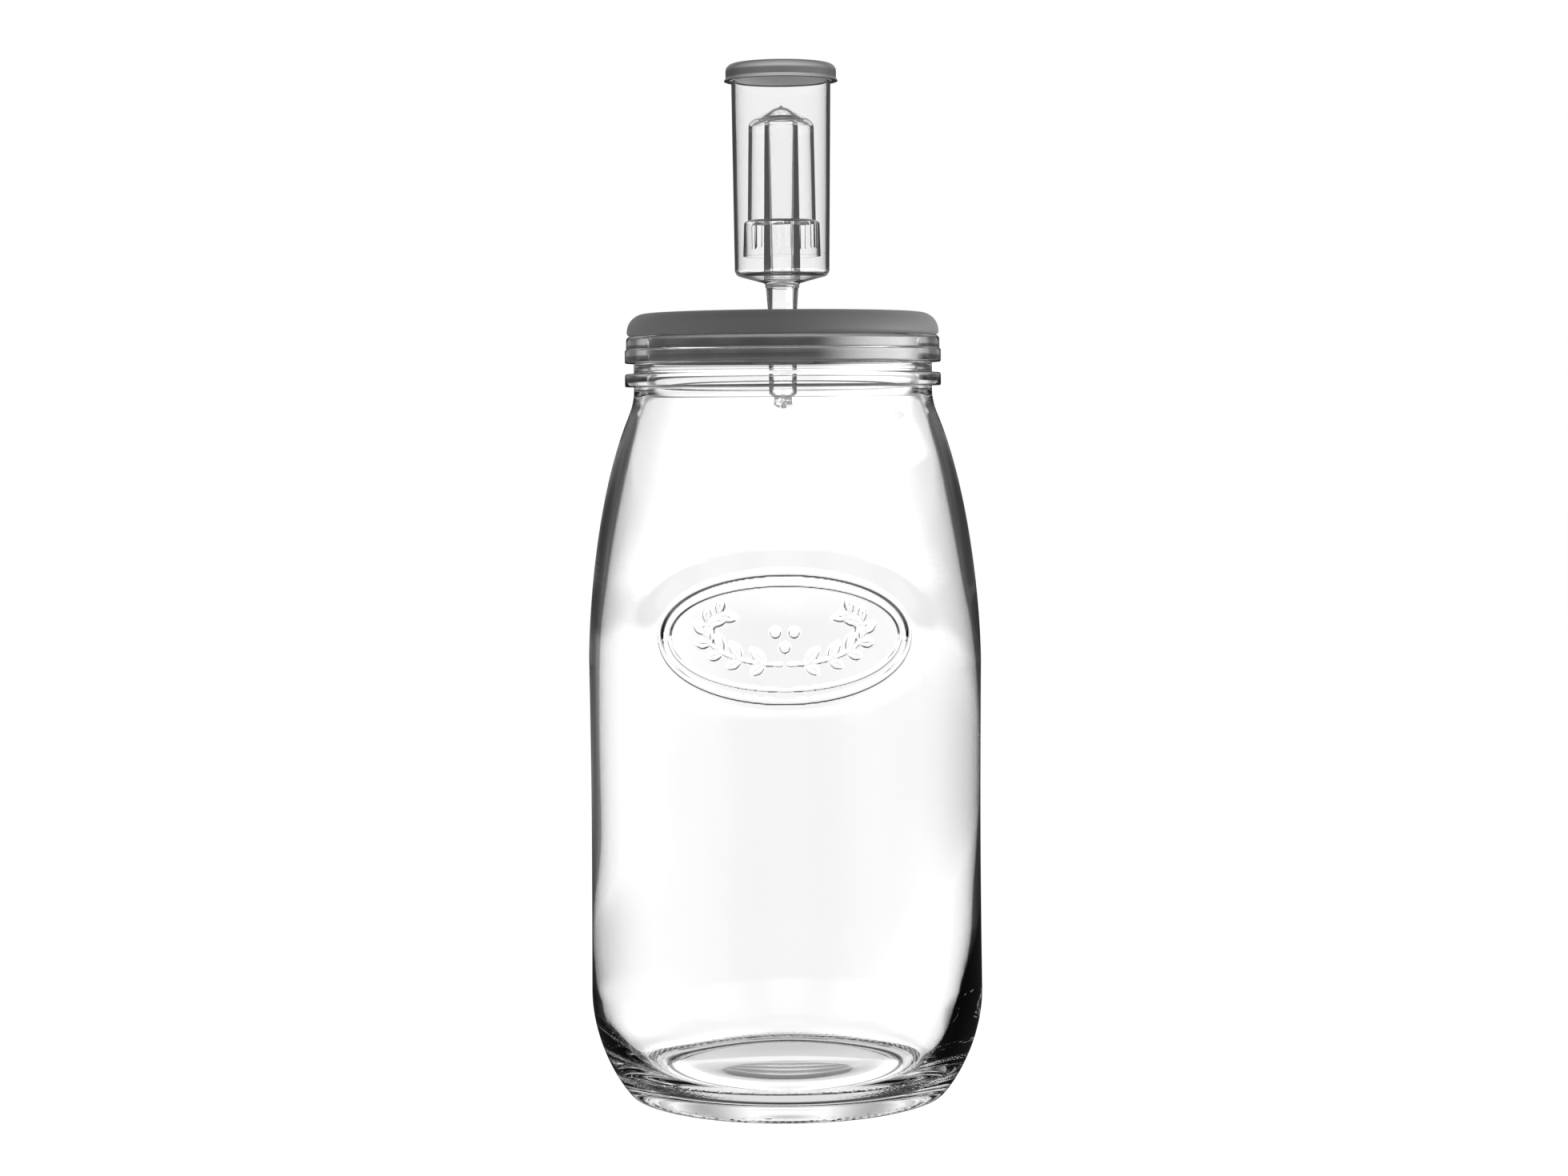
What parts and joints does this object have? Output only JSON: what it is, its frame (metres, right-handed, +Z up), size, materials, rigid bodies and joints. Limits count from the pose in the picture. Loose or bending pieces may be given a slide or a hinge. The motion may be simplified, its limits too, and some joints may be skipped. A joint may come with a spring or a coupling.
{
  "type": "fermentation jar with airlock",
  "caption": "Clear glass preserving jar with a grey silicone stopper lid and a clear water-seal airlock whose cup holds a floating bubbler under a vented cap.",
  "frame": {"origin": "centre of the ring that the jar stands on, on the surface it stands on", "axes": "+Z up along the jar's and the airlock's common axis; +Y away from the picture's camera, +X to its right"},
  "size_m": [0.136, 0.136, 0.3555],
  "materials": {
    "glass": "clear fire-polished soda-lime glass with slight mould waviness",
    "silicone": "moulded matte silicone, mid grey",
    "clear_plastic": "clear injection-moulded polystyrene, glossy",
    "grey_plastic": "injection-moulded polyethylene, satin grey"
  },
  "bodies": {
    "jar": {"jar": "glass"},
    "lid": {"lid": "silicone"},
    "airlock": {"airlock_body": "clear_plastic"},
    "bubbler": {"bubbler": "clear_plastic"},
    "cap": {"airlock_cap": "grey_plastic"}
  },
  "joints": [
    {"name": "lid_lift", "type": "slide", "parent": "jar", "child": "lid", "axis": [0, 0, 1], "range_m": [0, 0.06]},
    {"name": "airlock_pull", "type": "slide", "parent": "lid", "child": "airlock", "axis": [0, 0, 1], "range_m": [0, 0.05]},
    {"name": "bubbler_float", "type": "slide", "parent": "airlock", "child": "bubbler", "axis": [0, 0, 1], "range_m": [0, 0.0123]},
    {"name": "cap_pull", "type": "slide", "parent": "airlock", "child": "cap", "axis": [0, 0, 1], "range_m": [0, 0.02]}
  ]
}
